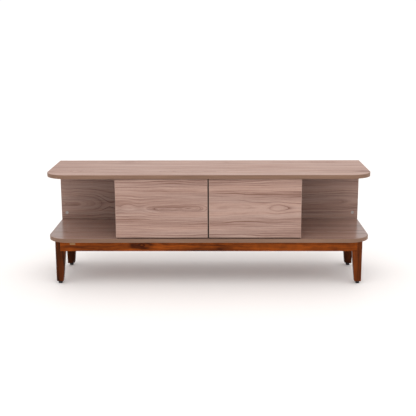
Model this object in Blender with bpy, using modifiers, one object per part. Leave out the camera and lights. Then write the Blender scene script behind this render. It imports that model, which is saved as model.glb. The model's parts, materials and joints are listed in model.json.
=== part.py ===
"""Low TV stand with two doors: boards, doors on concealed hinges, push latches and a wooden base frame.

Metres, +Z up.  X runs along the stand, -Y is its front, and the origin is on the floor under its middle.
"""
import math

import bmesh
import bpy
from mathutils import Matrix, Vector

# Overall size
WIDTH = 1.500
DEPTH = 0.420
HEIGHT = 0.520
BOARD = 0.018               # thickness of every board, door, apron and rail
GAP = 0.0003                # clearance kept between pieces that touch
FRONT = -DEPTH / 2
BACK = DEPTH / 2
BOARD_CORNER = 0.100        # radius of the two front corners of the top and bottom boards
CORNER_STEPS = 14
BOARD_ARRIS = 0.0015
SMALL_ARRIS = 0.0008

# Levels
FOOT_HEIGHT = 0.011
FRAME_LOW = 0.159           # underside of the aprons and rails
DECK_LOW = 0.203            # underside of the bottom board
DECK_TOP = DECK_LOW + BOARD
LID_LOW = HEIGHT - BOARD    # underside of the top board

# Cabinet between the two open ends
CABINET_HALF = 0.427        # outer face of each upright
UPRIGHT_FRONT = -0.183
BACK_PANEL_FRONT = BACK - BOARD

# Doors
DOOR_FRONT = FRONT + 0.006
DOOR_BACK = DOOR_FRONT + BOARD
DOOR_LOW = DECK_TOP + 0.005
DOOR_TOP = LID_LOW - 0.002
DOOR_OUTER = CABINET_HALF - 0.0002
DOOR_INNER = 0.0028
DOOR_PIVOT = (DOOR_OUTER - 0.0073, DOOR_BACK - 0.011)

# Concealed hinges: a cup in the door, a link, and an arm on the upright
HINGE_LEVELS = {"lower": DOOR_LOW + 0.050, "upper": DOOR_TOP - 0.062}
CUP_CENTRE = DOOR_OUTER - 0.0213
CUP_RADIUS = 0.0175
CUP_DEPTH = 0.0120
CUP_WALL = 0.0012
EAR_HALF = (0.0090, 0.0075)         # half width and half height of a cup's screw ear
EAR_FROM_CUP = 0.0225
EAR_SUNK = 0.0008
EAR_PROUD = 0.0012
LINK_PIVOT = (CABINET_HALF - 0.026, DOOR_BACK + 0.004)
LINK_LENGTH = 0.017
LINK_ANGLE = math.radians(20.6)     # closed link, towards the door's outer end and into the cup
LINK_THICKNESS = 0.0016
LINK_HEIGHT = 0.0120
EYE_RADIUS = 0.0025
PIN_RADIUS = 0.0011
ARM_PLATE = (-0.160, -0.142, 0.0022, 0.018)     # front, back, thickness, half height
ARM_SEAT = (-0.158, -0.128, 0.007)              # front, back, half height
ARM_CHANNEL = (0.0034, 0.0085)                  # half width and half height
ARM_BACK = -0.125
CHEEK_THICKNESS = 0.0016
CHEEK_HALF = 0.0030

# Push latches under the top board
LATCH_X = 0.050
LATCH_FRONT = -0.176
LATCH_SIZE = (0.016, 0.070, 0.017)
LATCH_LEVEL = LID_LOW - GAP - LATCH_SIZE[2] / 2
PLUNGER_RADIUS = 0.0040
PLUNGER_LENGTH = 0.044
PLUNGER_TIP = -0.1843
PLUNGER_TRAVEL = 0.004
PLUNGER_CLEARANCE = 0.0004
STRIKE_RADIUS = 0.0085
STRIKE_THICKNESS = 0.0012

# Cam locks
CAM_RADIUS = 0.0075
CAM_DEPTH = 0.0125
CAM_SLOT = (0.0045, 0.0011, 0.0030)             # half length, half width and depth of the driver's cross
CAM_FROM_END = 0.026
CAM_FROM_BOARD = 0.034
UPRIGHT_CAM_Y = {"front": UPRIGHT_FRONT + 0.075, "rear": BACK_PANEL_FRONT - 0.045}
CAM_LEVELS = {"lower": DECK_TOP + CAM_FROM_BOARD, "upper": LID_LOW - CAM_FROM_BOARD}

# Base frame
LEG_OUTER = 0.7145          # outer side of the legs
LEG_FACE = {"front": -0.192, "rear": 0.1415}
LEG_TOP = 0.047             # square section under the bottom board
LEG_TIP = 0.033             # square section at the foot
LEG_SHOULDER = FRAME_LOW - 0.004
LEG_ROUND = 0.011
LEG_CHAMFER = 0.012
LEG_END_CHAMFER = 0.0030
APRON_END = 0.690
APRON_PROUD = 0.003
RAIL_SET_IN = 0.003
STRETCHER_LOW = 0.165
FRAME_ARRIS = 0.0012
FOOT_RADII = (0.0094, 0.0106)
BRACE_REACH = 0.083         # from the frame's inner corner to the brace's far edge, both ways
BRACE_FACE = 0.030
BRACE_LOW = 0.168
BRACE_TOP = DECK_LOW - 0.002
BOLT_RADIUS = 0.0036
BOLT_CLEARANCE = 0.0004
BOLT_SPAN = (-0.042, 0.008)  # along the bolt's line, from the brace's face
NUT_RADIUS = 0.0068
NUT_HEIGHT = 0.0052
BOLT_LEVEL = 0.185
PLATE_SIZE = (0.026, 0.0008, 0.009)
PLATE_X = -0.631
PLATE_LEVEL = 0.1940

SIDES = {"left": -1, "right": 1}
ENDS = {"front": -1, "rear": 1}
SMOOTH_ANGLE = math.radians(40)


def clear_scene():
    for thing in list(bpy.data.objects):
        bpy.data.objects.remove(thing, do_unlink=True)
    for group in list(bpy.data.collections):
        bpy.data.collections.remove(group)


def new_collection(name):
    group = bpy.data.collections.new(name)
    bpy.context.scene.collection.children.link(group)
    return group


def make_material(name, colour, roughness, metallic=0.0):
    mat = bpy.data.materials.new(name)
    mat.use_nodes = True
    shader = mat.node_tree.nodes["Principled BSDF"]
    shader.inputs["Base Color"].default_value = (*colour, 1.0)
    shader.inputs["Roughness"].default_value = roughness
    shader.inputs["Metallic"].default_value = metallic
    return mat


clear_scene()
PARTS = new_collection("tv_stand_with_doors")
CUTTERS = new_collection("cutters")

LAMINATE = make_material("oak_laminate", (0.40, 0.30, 0.26), 0.45)
STAINED = make_material("stained_wood", (0.21, 0.065, 0.02), 0.40)
BLACK = make_material("black_plastic", (0.012, 0.012, 0.013), 0.50)
GREY = make_material("grey_plastic", (0.42, 0.43, 0.45), 0.45)
NICKEL = make_material("nickel_steel", (0.62, 0.61, 0.58), 0.28, 1.0)
ZINC = make_material("cam_zinc", (0.50, 0.51, 0.53), 0.42, 1.0)
BRASS = make_material("brass_plate", (0.55, 0.37, 0.19), 0.38, 1.0)


def move_to(thing, group):
    for old in list(thing.users_collection):
        old.objects.unlink(thing)
    group.objects.link(thing)


def finish_part(thing, name, mat, parent=None):
    """Name a piece, put it with the parts, give it its material, and parent it where it stands."""
    thing.name = name
    thing.data.name = name
    move_to(thing, PARTS)
    thing.data.materials.clear()
    thing.data.materials.append(mat)
    if parent is not None:
        thing.parent = parent
        thing.matrix_parent_inverse = parent.matrix_world.inverted()
    return thing


def as_cutter(thing, name):
    thing.name = name
    move_to(thing, CUTTERS)
    thing.hide_render = True
    thing.display_type = "WIRE"
    return thing


def cut(thing, cutter, name):
    """Cut a shape out of a piece."""
    boolean = thing.modifiers.new(name, "BOOLEAN")
    boolean.operation = "DIFFERENCE"
    boolean.object = as_cutter(cutter, name)


def weld(thing, other, name):
    """Join another shape onto a piece."""
    boolean = thing.modifiers.new(name, "BOOLEAN")
    boolean.operation = "UNION"
    boolean.object = as_cutter(other, name)


def round_edges(thing, width, segments=1):
    bevel = thing.modifiers.new("edges", "BEVEL")
    bevel.width = width
    bevel.segments = segments
    bevel.limit_method = "ANGLE"
    bevel.angle_limit = SMOOTH_ANGLE


def shade_round(thing):
    thing.data.shade_smooth()
    thing.data.set_sharp_from_angle(angle=SMOOTH_ANGLE)
    return thing


def apply_scale(thing):
    thing.data.transform(Matrix.Diagonal((*thing.scale, 1.0)))
    thing.scale = (1.0, 1.0, 1.0)


def box_between(low, high, side=1):
    """A box between two corners; side -1 mirrors corners given for the right half to the left."""
    ends = sorted((side * low[0], side * high[0]))
    low, high = (ends[0], *low[1:]), (ends[1], *high[1:])
    bpy.ops.mesh.primitive_cube_add(size=1, location=[(a + b) / 2 for a, b in zip(low, high)])
    thing = bpy.context.object
    thing.scale = [b - a for a, b in zip(low, high)]
    apply_scale(thing)
    return thing


def cylinder_along(axis, centre, radius, length, segments=24):
    """A cylinder whose axis is X, Y or Z."""
    turn = {"X": (0, math.pi / 2, 0), "Y": (math.pi / 2, 0, 0), "Z": (0, 0, 0)}[axis]
    bpy.ops.mesh.primitive_cylinder_add(vertices=segments, radius=radius, depth=length,
                                        location=centre, rotation=turn)
    return shade_round(bpy.context.object)


def solid_from_outline(points, low, high):
    """A flat outline seen from above, made solid between two levels, as one closed mesh."""
    curve = bpy.data.curves.new("outline", "CURVE")
    curve.dimensions = "2D"
    curve.fill_mode = "BOTH"
    curve.extrude = (high - low) / 2
    outline = curve.splines.new("POLY")
    outline.points.add(len(points) - 1)
    for point, (x, y) in zip(outline.points, points):
        point.co = (x, y, 0, 1)
    outline.use_cyclic_u = True
    flat = bpy.data.objects.new("outline", curve)
    flat.location.z = (low + high) / 2
    PARTS.objects.link(flat)
    bpy.context.view_layer.update()
    seen = flat.evaluated_get(bpy.context.evaluated_depsgraph_get())
    mesh = bpy.data.meshes.new_from_object(seen)
    solid = bmesh.new()
    solid.from_mesh(mesh)
    bmesh.ops.remove_doubles(solid, verts=solid.verts, dist=0.00001)
    bmesh.ops.recalc_face_normals(solid, faces=solid.faces)
    solid.to_mesh(mesh)
    solid.free()
    thing = bpy.data.objects.new("solid", mesh)
    thing.matrix_world = flat.matrix_world.copy()
    PARTS.objects.link(thing)
    bpy.data.objects.remove(flat, do_unlink=True)
    return thing


def make_upright_axis(name, x, y):
    """An empty on a vertical axis, halfway up the doors, for the pieces that turn about it."""
    axis = bpy.data.objects.new(name, None)
    axis.empty_display_size = 0.03
    axis.location = (x, y, (DOOR_LOW + DOOR_TOP) / 2)
    PARTS.objects.link(axis)
    bpy.context.view_layer.update()
    return axis


def make_rounded_board(name, low):
    """Top or bottom board: square at the back, with the two front corners rounded."""
    half = WIDTH / 2
    points = [(half, BACK), (-half, BACK)]
    for start, centre_x in ((math.pi, BOARD_CORNER - half), (1.5 * math.pi, half - BOARD_CORNER)):
        for step in range(CORNER_STEPS + 1):
            angle = start + step * math.pi / 2 / CORNER_STEPS
            points.append((centre_x + BOARD_CORNER * math.cos(angle),
                           FRONT + BOARD_CORNER * (1 + math.sin(angle))))
    board = finish_part(solid_from_outline(points, low, low + BOARD), name, LAMINATE)
    round_edges(board, BOARD_ARRIS, 2)


def add_cam_lock(board, name, axis, face, inward):
    """Bore a board for a cam lock at a point on its face, and make the lock in it."""
    slot = "XYZ".index(axis)
    bore = cylinder_along(axis, face, CAM_RADIUS + GAP, 2 * (CAM_DEPTH + GAP))
    cut(board, bore, name + "_bore")
    centre = list(face)
    centre[slot] += inward * CAM_DEPTH / 2
    cam = finish_part(cylinder_along(axis, centre, CAM_RADIUS, CAM_DEPTH), name, ZINC)
    across = [i for i in range(3) if i != slot]
    for long_way, short_way in (across, across[::-1]):
        reach = [0.0, 0.0, 0.0]
        reach[long_way], reach[short_way], reach[slot] = CAM_SLOT
        groove = box_between([c - r for c, r in zip(face, reach)], [c + r for c, r in zip(face, reach)])
        cut(cam, groove, f"{name}_groove_{long_way}")


def make_back_board():
    board = finish_part(box_between((-WIDTH / 2, BACK_PANEL_FRONT, DECK_TOP + GAP),
                                    (WIDTH / 2, BACK, LID_LOW - GAP)), "back_board", LAMINATE)
    round_edges(board, SMALL_ARRIS)
    for side_name, side in SIDES.items():
        for level_name, level in CAM_LEVELS.items():
            face = (side * (WIDTH / 2 - CAM_FROM_END), BACK_PANEL_FRONT, level)
            add_cam_lock(board, f"back_cam_{side_name}_{level_name}", "Y", face, 1)


def make_upright(side_name, side):
    upright = finish_part(box_between((CABINET_HALF - BOARD, UPRIGHT_FRONT, DECK_TOP + GAP),
                                      (CABINET_HALF, BACK_PANEL_FRONT - GAP, LID_LOW - GAP), side),
                          f"{side_name}_upright", LAMINATE)
    round_edges(upright, SMALL_ARRIS)
    for place_name, y in UPRIGHT_CAM_Y.items():
        for level_name, level in CAM_LEVELS.items():
            face = (side * (CABINET_HALF - BOARD), y, level)
            add_cam_lock(upright, f"{side_name}_cam_{place_name}_{level_name}", "X", face, side)


def make_divider():
    divider = finish_part(box_between((-BOARD / 2, UPRIGHT_FRONT, DECK_TOP + GAP),
                                      (BOARD / 2, BACK_PANEL_FRONT - GAP, LID_LOW - GAP)),
                          "centre_divider", LAMINATE)
    round_edges(divider, SMALL_ARRIS)


def ear_box(side, level, spare=0.0):
    """Where a cup's screw ear lies, half sunk in the door's back; spare is clearance all round."""
    half_width, half_height = EAR_HALF[0] + spare, EAR_HALF[1] + spare
    return box_between((CUP_CENTRE - half_width, DOOR_BACK - EAR_SUNK - spare, level - half_height),
                       (CUP_CENTRE + half_width, DOOR_BACK + EAR_PROUD, level + half_height), side)


def make_hinge_cup(name, side, level, axis):
    """Round cup in the door's back with a screw ear above and below it."""
    centre = (side * CUP_CENTRE, DOOR_BACK - CUP_DEPTH / 2, level)
    cup = finish_part(cylinder_along("Y", centre, CUP_RADIUS, CUP_DEPTH), name, NICKEL, axis)
    for way in (-1, 1):
        weld(cup, ear_box(side, level + way * EAR_FROM_CUP), f"{name}_ear_{way}")
    hollow = cylinder_along("Y", (centre[0], DOOR_BACK, level), CUP_RADIUS - CUP_WALL,
                            2 * (CUP_DEPTH - CUP_WALL))
    cut(cup, hollow, name + "_hollow")


def make_hinge_link(name, side, level, axis):
    """Flat link with an eye round the arm's pin; its free end lies in the cup's mouth."""
    pivot = Vector((side * LINK_PIVOT[0], LINK_PIVOT[1], level))
    toward = Vector((side * math.cos(LINK_ANGLE), -math.sin(LINK_ANGLE), 0))
    link = finish_part(cylinder_along("Z", pivot, EYE_RADIUS, LINK_HEIGHT, 16), name, NICKEL, axis)
    bpy.ops.mesh.primitive_cube_add(size=1, location=pivot + toward * LINK_LENGTH / 2,
                                    rotation=(0, 0, math.atan2(toward.y, toward.x)))
    bar = bpy.context.object
    bar.scale = (LINK_LENGTH, LINK_THICKNESS, LINK_HEIGHT - 0.001)
    apply_scale(bar)
    weld(link, bar, name + "_bar")
    cut(link, cylinder_along("Z", pivot, PIN_RADIUS + GAP, LINK_HEIGHT * 2, 16), name + "_hole")


def make_hinge_arm(name, side, level):
    """Arm and mounting plate on the upright's inner face, forked at the front round the link's pin."""
    face = CABINET_HALF - BOARD - GAP
    pivot_x, pivot_y = LINK_PIVOT
    front, back, thickness, half_height = ARM_PLATE
    arm = finish_part(box_between((face - thickness, front, level - half_height),
                                  (face, back, level + half_height), side), name, NICKEL)
    half_width, half_height = ARM_CHANNEL
    fork_root = pivot_y + 2 * CHEEK_HALF
    channel = box_between((pivot_x - half_width, fork_root, level - half_height),
                          (pivot_x + half_width, ARM_BACK, level + half_height), side)
    weld(arm, channel, name + "_channel")
    front, back, half_height = ARM_SEAT
    seat = box_between((pivot_x + CHEEK_HALF / 2, front, level - half_height),
                       (face - thickness / 2, back, level + half_height), side)
    weld(arm, seat, name + "_seat")
    for way in (-1, 1):
        middle = level + way * (LINK_HEIGHT / 2 + 0.75 * CHEEK_THICKNESS)
        cheek = box_between((pivot_x - CHEEK_HALF, pivot_y, middle - CHEEK_THICKNESS / 2),
                            (pivot_x + CHEEK_HALF, pivot_y + 3 * CHEEK_HALF, middle + CHEEK_THICKNESS / 2),
                            side)
        weld(arm, cheek, f"{name}_cheek_{way}")
        nose = cylinder_along("Z", (side * pivot_x, pivot_y, middle), CHEEK_HALF + 0.0001,
                              CHEEK_THICKNESS + 0.0002, 20)
        weld(arm, nose, f"{name}_nose_{way}")
    pin = cylinder_along("Z", (side * pivot_x, pivot_y, level), PIN_RADIUS,
                         LINK_HEIGHT + 2.25 * CHEEK_THICKNESS, 12)
    weld(arm, pin, name + "_pin")


def make_door(side_name, side):
    """Door, hinge cups and strike plate on one axis, and the links and arms that carry them."""
    axis = make_upright_axis(f"{side_name}_door_axis", side * DOOR_PIVOT[0], DOOR_PIVOT[1])
    link_axis = make_upright_axis(f"{side_name}_link_axis", side * LINK_PIVOT[0], LINK_PIVOT[1])
    door = finish_part(box_between((DOOR_INNER, DOOR_FRONT, DOOR_LOW),
                                   (DOOR_OUTER, DOOR_BACK, DOOR_TOP), side),
                       f"{side_name}_door", LAMINATE, axis)
    round_edges(door, SMALL_ARRIS)
    for level_name, level in HINGE_LEVELS.items():
        make_hinge_cup(f"{side_name}_hinge_cup_{level_name}", side, level, axis)
        make_hinge_link(f"{side_name}_hinge_link_{level_name}", side, level, link_axis)
        make_hinge_arm(f"{side_name}_hinge_arm_{level_name}", side, level)
        bore = cylinder_along("Y", (side * CUP_CENTRE, DOOR_BACK, level), CUP_RADIUS + GAP,
                              2 * (CUP_DEPTH + GAP))
        cut(door, bore, f"{side_name}_cup_bore_{level_name}")
        for way in (-1, 1):
            recess = ear_box(side, level + way * EAR_FROM_CUP, GAP)
            cut(door, recess, f"{side_name}_ear_recess_{level_name}_{way}")
    strike = cylinder_along("Y", (side * LATCH_X, DOOR_BACK + GAP + STRIKE_THICKNESS / 2, LATCH_LEVEL),
                            STRIKE_RADIUS, STRIKE_THICKNESS)
    finish_part(strike, f"{side_name}_strike_plate", NICKEL, axis)


def make_latch(side_name, side):
    """Push latch: a housing under the top board and the plunger that the door presses."""
    middle = side * LATCH_X
    width, length, height = LATCH_SIZE
    housing = finish_part(box_between((middle - width / 2, LATCH_FRONT, LATCH_LEVEL - height / 2),
                                      (middle + width / 2, LATCH_FRONT + length, LATCH_LEVEL + height / 2)),
                          f"{side_name}_latch_housing", GREY)
    round_edges(housing, 0.0010)
    bore_end = PLUNGER_TIP + PLUNGER_LENGTH + 2 * PLUNGER_TRAVEL
    bore = cylinder_along("Y", (middle, LATCH_FRONT, LATCH_LEVEL), PLUNGER_RADIUS + PLUNGER_CLEARANCE,
                          2 * (bore_end - LATCH_FRONT), 20)
    cut(housing, bore, f"{side_name}_latch_bore")
    plunger = cylinder_along("Y", (middle, PLUNGER_TIP + PLUNGER_LENGTH / 2, LATCH_LEVEL),
                             PLUNGER_RADIUS, PLUNGER_LENGTH, 20)
    finish_part(plunger, f"{side_name}_latch_plunger", GREY)
    round_edges(plunger, 0.0006)


def apron_faces(end_name):
    """Y of an apron's outer and inner face."""
    end = ENDS[end_name]
    outer = LEG_FACE[end_name] + end * APRON_PROUD
    return outer, outer - end * BOARD


def bevel_chosen_edges(solid, chosen, width, segments):
    """Bevel the edges whose two ends both satisfy chosen()."""
    edges = [edge for edge in solid.edges if all(chosen(vert.co) for vert in edge.verts)]
    bmesh.ops.bevel(solid, geom=edges, offset=width, segments=segments, profile=0.5, affect="EDGES")


def make_leg(side_name, end_name):
    """Leg with two upright outer faces and two tapered inner faces, rebated for the apron."""
    side, end = SIDES[side_name], ENDS[end_name]
    corner = Vector((side * LEG_OUTER, LEG_FACE[end_name]))
    bottom = FOOT_HEIGHT + GAP

    def inward(point):
        """How far a point lies from the leg's outer corner, along X and along Y."""
        return side * (corner.x - point.x), end * (corner.y - point.y)

    solid = bmesh.new()
    bmesh.ops.create_cube(solid, size=1.0)
    for vert in solid.verts:
        x_in, y_in = (0.5 - side * vert.co.x) * LEG_TOP, (0.5 - end * vert.co.y) * LEG_TOP
        level = DECK_LOW - GAP if vert.co.z > 0 else bottom
        vert.co = (corner.x - side * x_in, corner.y - end * y_in, level)
    bmesh.ops.bisect_plane(solid, geom=solid.verts[:] + solid.edges[:] + solid.faces[:],
                           plane_co=(0, 0, LEG_SHOULDER), plane_no=(0, 0, 1))
    for vert in solid.verts:
        if vert.co.z < bottom + GAP:
            x_in, y_in = (min(distance, LEG_TIP) for distance in inward(vert.co))
            vert.co = (corner.x - side * x_in, corner.y - end * y_in, vert.co.z)
    bevel_chosen_edges(solid, lambda point: max(inward(point)) < GAP, LEG_ROUND, 5)
    bevel_chosen_edges(solid, lambda point: min(inward(point)) > LEG_TIP - GAP, LEG_CHAMFER, 1)
    bevel_chosen_edges(solid, lambda point: point.z < bottom + GAP, LEG_END_CHAMFER, 1)
    mesh = bpy.data.meshes.new("leg")
    solid.to_mesh(mesh)
    solid.free()
    leg = bpy.data.objects.new("leg", mesh)
    finish_part(leg, f"{end_name}_{side_name}_leg", STAINED)
    round_edges(leg, SMALL_ARRIS)

    outer, inner = apron_faces(end_name)
    y_low, y_high = sorted((outer + end * BOARD, inner - end * GAP))
    rebate = box_between((APRON_END - 2 * LEG_TOP, y_low, FRAME_LOW - GAP),
                         (APRON_END + GAP, y_high, DECK_LOW + BOARD), side)
    cut(leg, rebate, f"{end_name}_{side_name}_rebate")
    return leg


def make_apron(end_name):
    y_low, y_high = sorted(apron_faces(end_name))
    apron = finish_part(box_between((-APRON_END, y_low, FRAME_LOW), (APRON_END, y_high, DECK_LOW - GAP)),
                        f"{end_name}_apron", STAINED)
    round_edges(apron, FRAME_ARRIS, 2)


def make_side_rail(side_name, side):
    outer = LEG_OUTER - RAIL_SET_IN
    rail = finish_part(box_between((outer - BOARD, LEG_FACE["front"] + LEG_TOP + GAP, FRAME_LOW),
                                   (outer, LEG_FACE["rear"] - LEG_TOP - GAP, DECK_LOW - GAP), side),
                       f"{side_name}_rail", STAINED)
    round_edges(rail, FRAME_ARRIS)


def make_stretcher():
    stretcher = finish_part(box_between((-BOARD / 2, apron_faces("front")[1] + GAP, STRETCHER_LOW),
                                        (BOARD / 2, apron_faces("rear")[1] - GAP, DECK_LOW - GAP)),
                            "centre_stretcher", STAINED)
    round_edges(stretcher, FRAME_ARRIS)


def make_brace_and_bolt(side_name, end_name, leg):
    """Wooden block across a corner of the frame, and the bolt that draws the leg to it."""
    side, end = SIDES[side_name], ENDS[end_name]
    apron_inner = apron_faces(end_name)[1] - end * GAP
    rail_inner = side * (LEG_OUTER - RAIL_SET_IN - BOARD - GAP)
    near = BRACE_REACH - BRACE_FACE
    points = [(rail_inner - side * BRACE_REACH, apron_inner),
              (rail_inner, apron_inner - end * BRACE_REACH),
              (rail_inner, apron_inner - end * near),
              (rail_inner - side * near, apron_inner)]
    name = f"{end_name}_{side_name}"
    brace = finish_part(solid_from_outline(points, BRACE_LOW, BRACE_TOP), name + "_brace", STAINED)

    inward = Vector((-side, -end, 0)).normalized()
    face = Vector((rail_inner - side * BRACE_REACH / 2, apron_inner - end * BRACE_REACH / 2, BOLT_LEVEL))

    def rod(radius, start, stop, segments):
        """A rod on the bolt's line, from start to stop past the brace's inner face."""
        bpy.ops.mesh.primitive_cylinder_add(vertices=segments, radius=radius, depth=stop - start,
                                            location=face + inward * (start + stop) / 2,
                                            rotation=inward.to_track_quat("Z", "Y").to_euler())
        return bpy.context.object

    start, stop = BOLT_SPAN
    bolt = finish_part(rod(BOLT_RADIUS, start, stop, 12), name + "_bolt", NICKEL)
    weld(bolt, rod(NUT_RADIUS, GAP, GAP + NUT_HEIGHT, 6), name + "_nut")
    for piece in (brace, leg):
        bore = rod(BOLT_RADIUS + BOLT_CLEARANCE, start - BOLT_CLEARANCE, stop, 12)
        cut(piece, bore, piece.name + "_bolt_bore")


def make_foot(side_name, end_name):
    """Black glide under a leg, a little narrower at the floor."""
    centre = (SIDES[side_name] * (LEG_OUTER - LEG_TIP / 2),
              LEG_FACE[end_name] - ENDS[end_name] * LEG_TIP / 2, FOOT_HEIGHT / 2)
    bpy.ops.mesh.primitive_cone_add(vertices=24, radius1=FOOT_RADII[0], radius2=FOOT_RADII[1],
                                    depth=FOOT_HEIGHT, location=centre)
    foot = finish_part(shade_round(bpy.context.object), f"{end_name}_{side_name}_foot", BLACK)
    round_edges(foot, 0.0010)


def make_plate():
    """Small blank metal plate on the front apron near the left leg."""
    centre = Vector((PLATE_X, apron_faces("front")[0] - GAP - PLATE_SIZE[1] / 2, PLATE_LEVEL))
    half = Vector(PLATE_SIZE) / 2
    finish_part(box_between(centre - half, centre + half), "maker_plate", BRASS)


make_rounded_board("top_board", LID_LOW)
make_rounded_board("bottom_board", DECK_LOW)
make_back_board()
make_divider()
for side_label, sign in SIDES.items():
    make_upright(side_label, sign)
    make_door(side_label, sign)
    make_latch(side_label, sign)
    make_side_rail(side_label, sign)
for end_label in ENDS:
    make_apron(end_label)
    for side_label in SIDES:
        leg_piece = make_leg(side_label, end_label)
        make_brace_and_bolt(side_label, end_label, leg_piece)
        make_foot(side_label, end_label)
make_stretcher()
make_plate()
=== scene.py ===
import json
import math

import bmesh
import bpy
from mathutils import Matrix, Vector


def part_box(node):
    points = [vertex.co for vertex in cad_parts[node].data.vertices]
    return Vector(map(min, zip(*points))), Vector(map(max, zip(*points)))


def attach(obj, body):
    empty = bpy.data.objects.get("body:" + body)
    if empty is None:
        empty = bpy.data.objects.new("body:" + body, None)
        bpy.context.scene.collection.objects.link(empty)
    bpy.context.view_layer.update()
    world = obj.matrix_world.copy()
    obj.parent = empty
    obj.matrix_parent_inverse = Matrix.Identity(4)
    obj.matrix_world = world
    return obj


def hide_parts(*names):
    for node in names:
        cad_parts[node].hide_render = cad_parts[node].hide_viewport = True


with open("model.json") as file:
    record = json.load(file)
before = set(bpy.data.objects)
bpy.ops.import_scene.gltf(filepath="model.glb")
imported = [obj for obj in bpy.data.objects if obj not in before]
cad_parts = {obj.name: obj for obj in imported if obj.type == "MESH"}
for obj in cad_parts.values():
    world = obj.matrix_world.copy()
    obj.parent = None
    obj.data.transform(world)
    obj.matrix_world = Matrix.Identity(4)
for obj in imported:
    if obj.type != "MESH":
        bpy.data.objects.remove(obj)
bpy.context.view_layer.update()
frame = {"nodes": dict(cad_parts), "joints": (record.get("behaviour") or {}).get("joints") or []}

# Boards: a laminated panel inside a ring of edge banding
EDGE_BAND = 0.0016  # how far the banding reaches in from a board's edge
JOINT = 0.00005  # hairline between the banding and the panel
BOARD_CORNER = 0.100  # radius of the two front corners of the top and bottom boards
CORNER_STEPS = 40
BOARD_ARRIS = 0.0014  # rounded edges of the top and bottom boards
DOOR_ARRIS = 0.0009  # rounded edges of the doors and of all the other boards
FIT = 0.0003  # clearance between a bore and what sits in it
THROUGH = 0.010  # how far a cutter reaches past what it cuts

# Cam locks
CAM_RIM = 0.0009  # width of the raised rim
CAM_RECESS = 0.0005  # depth of the face inside the rim
CAM_CHAMFER = 0.0006  # at the inner end
CAM_ARRIS = 0.0004  # at the face
CAM_LEAN = 0.0002  # how far the rim's inner side leans in
CROSS = (0.0045, 0.0011, 0.0030)  # half length, half width and depth of the driver's cross

# Hinges, measured from the link's pivot on the arm
CUP_WALL = 0.0012
CUP_FILLET = 0.0035
CUP_LIP = (0.0011, 0.0004)  # how far the lip reaches past the bore, and how proud it stands
CUP_STEPS = 64
CUP_EAR = (0.0090, 0.0075)  # half width and half height of a screw ear
EAR_FROM_CUP = 0.0225
EAR_THICKNESS = (0.0008, 0.0012)  # sunk in the door, and proud of it
EAR_ROUND = 0.0006
EAR_SCREW = 0.0036  # radius of the head
EAR_SCREW_OFFSET = 0.0022  # from the ear's middle, away from the cup
NOTCH_REACH = 0.004  # half length of the lip's notch, across the cup's wall
NOTCH_SPARE = 0.0008  # how much higher it is than the link, above and below
LINK_LENGTH = 0.017
LINK_ANGLE = math.radians(20.6)
LINK_HALF_THICKNESS = 0.0008
EYE_RADIUS = 0.0025
PIN_RADIUS = 0.0011
CHEEK_THICKNESS = 0.0016
CHEEK_HALF = 0.0030
CHEEK_LENGTH = 0.010
CHANNEL_HALF = (0.0034, 0.0085)
CHANNEL_ROUND = 0.0010
SEAT_SPAN = (0.024, 0.054)  # front and back of the seat behind the pivot
SEAT_HALF_HEIGHT = 0.0070
SEAT_ROUND = 0.0005
PLATE_SPAN = (0.022, 0.040)
PLATE_THICKNESS = 0.0022
PLATE_ROUND = 0.0008
PLATE_SCREW = (0.0034, 0.0132)  # radius of the head, and its distance above or below the arm
ADJUSTING_SCREW = 0.0030
ADJUSTING_REACH = (0.024, 0.046)  # distances of the two adjusting screws behind the pivot
STRIKE_CHAMFER = 0.0006
STRIKE_DISH = (0.0028, 0.0018)  # radius of the strike plate's dish at its rim and at its floor

# Push latches
LATCH_ROUND = 0.0016
LATCH_SCREW = (0.0032, 0.0002)  # radius of the head, and how far it is sunk in the housing
LATCH_SCREW_INSET = (0.012, 0.010)  # from the housing's front and from its back
PLUNGER_BORE = 0.0044
BORE_SPARE = 0.008  # free length behind the plunger
COLLAR = (0.0064, 0.0014)  # radius, and how far it stands out of the housing
COLLAR_ROOT = 0.004  # how deep it starts in the housing
COLLAR_CHAMFER = 0.0004
GRIP_GROOVE = (0.0004, 0.016, 0.0012)  # depth, half length and half height
GROOVE_PITCH = 0.004
GROOVE_BACK = 0.012  # how far the grooves lie behind the housing's middle
TIP_ROUND = 0.0012
TIP_GROOVE = (0.0030, 0.0033, 0.0039, 0.0042)  # where it starts, its floor and its end, from the tip
TIP_GROOVE_DEPTH = 0.0004
PLUNGER_CHAMFER = 0.0005

# Base frame
LEG_TIP = 0.033  # width of the leg at the floor
LEG_ROUND = 0.011
LEG_CHAMFER = 0.012
LEG_END_CHAMFER = 0.0030
LEG_ARRIS = 0.0009  # every other sharp edge
LEG_SHOULDER_DROP = 0.004  # the taper starts this far below the aprons
REBATE_PAST = 0.6  # the cutter of a leg's rebate ends this far past the object's middle
FRAME_ARRIS = 0.0014
BRACE_FACE = 0.030  # width of a brace's end on the apron or rail
BRACE_ARRIS = 0.0010
BRACE_SCREW = (0.0036, 0.034, 0.0001)  # radius of the head, distance from the bolt, gap to the brace
BOLT_RADIUS = 0.0034
BOLT_SPARE = 0.0006  # clearance round the bolt
BOLT_SPAN = (-0.042, 0.008)
BOLT_CHAMFER = 0.0005
THREAD_PITCH = 0.0010
THREAD_START = 0.0008
THREAD = (-0.0003, 0.0001)  # root and crest, from the bolt's radius
NUT = (0.0068, 0.0012, 0.0052)  # radius over corners, and the levels of its two faces
NUT_ARRIS = 0.0005
WASHER = (0.0066, 0.0014, 0.0004)  # radius, level of its outer face, and chamfer
SOLE_ROUND = 0.0016
SOLE_INSET = 0.0014  # from the glide's collar to its sole
GLIDE_COLLAR = 0.0022  # height of the collar against the leg
GLIDE_CHAMFER = 0.0004
GLIDE_SLOPES = (0.0005, 0.0008)  # how far under the collar its two slopes end
BLANK_ROUND = 0.00035
BLANK_PIN = 0.0105  # distance of each pin from the blank plate's middle
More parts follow.
